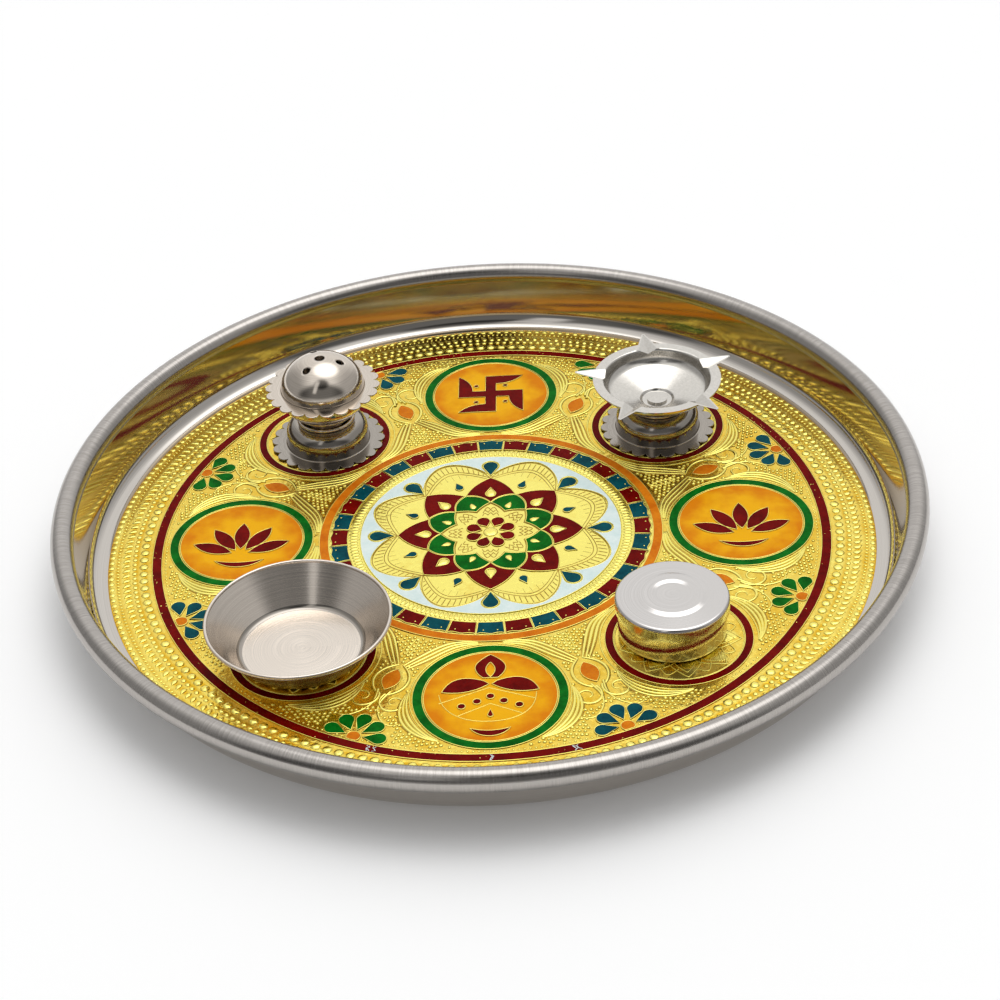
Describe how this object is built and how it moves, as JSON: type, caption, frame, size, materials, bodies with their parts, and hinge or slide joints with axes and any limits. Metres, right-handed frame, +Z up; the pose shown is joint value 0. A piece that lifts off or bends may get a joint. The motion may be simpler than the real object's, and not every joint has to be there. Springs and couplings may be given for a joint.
{
  "type": "puja thali",
  "caption": "Round steel worship tray with a rolled rim, a gold foil floor with enamel ornament, and loose vessels: incense holder, spouted oil lamp, open bowl and lidded box",
  "frame": {"origin": "on the tray's axis, at the underside of its floor", "axes": "+Z up out of the tray; +Y towards the roundel with the swastika, +X towards the roundel between the lamp and the lidded box"},
  "size_m": [0.3049, 0.305, 0.0379],
  "materials": {
    "steel": "polished to satin",
    "gold": "bright embossed foil",
    "maroon": "gloss enamel",
    "green": "gloss enamel",
    "blue": "gloss enamel",
    "orange": "gloss enamel",
    "amber": "gloss enamel, orange at the edge to yellow",
    "pale": "gloss enamel"
  },
  "bodies": {
    "thali": {"thali_tray": "steel", "gold_foil": "gold", "border_ring": "maroon", "seat_rings": "maroon", "roundel_rings": "green", "roundel_grounds": "amber", "swastika_motif": "maroon", "kalash_motif": "maroon", "lotus_motifs": "maroon", "orange_ring": "orange", "maroon_tiles": "maroon", "blue_tiles": "blue", "pale_ground": "pale", "maroon_petals": "maroon", "green_petals": "green", "centre_flower": "maroon", "blue_drops": "blue", "blue_flowers": "blue", "green_flowers": "green", "flower_centres": "orange", "leaf_buds": "orange"},
    "incense_holder": {"incense_foot": "steel", "incense_neck": "steel", "incense_dish": "steel", "incense_dome": "steel", "incense_rivet": "steel"},
    "oil_lamp": {"diya_foot": "steel", "diya_collar": "steel", "diya_bowl": "steel", "diya_rivet": "steel"},
    "bowl": {"offering_bowl": "steel"},
    "kumkum_box": {"kumkum_box": "steel"},
    "kumkum_lid": {"kumkum_lid": "steel"}
  },
  "joints": [
    {"name": "incense_holder_lift", "type": "slide", "parent": "thali", "child": "incense_holder", "axis": [0, 0, 1], "range_m": [0, 0.06]},
    {"name": "oil_lamp_lift", "type": "slide", "parent": "thali", "child": "oil_lamp", "axis": [0, 0, 1], "range_m": [0, 0.06]},
    {"name": "bowl_lift", "type": "slide", "parent": "thali", "child": "bowl", "axis": [0, 0, 1], "range_m": [0, 0.06]},
    {"name": "kumkum_box_lift", "type": "slide", "parent": "thali", "child": "kumkum_box", "axis": [0, 0, 1], "range_m": [0, 0.06]},
    {"name": "kumkum_lid_lift", "type": "slide", "parent": "kumkum_box", "child": "kumkum_lid", "axis": [0, 0, 1], "range_m": [0, 0.03]}
  ]
}
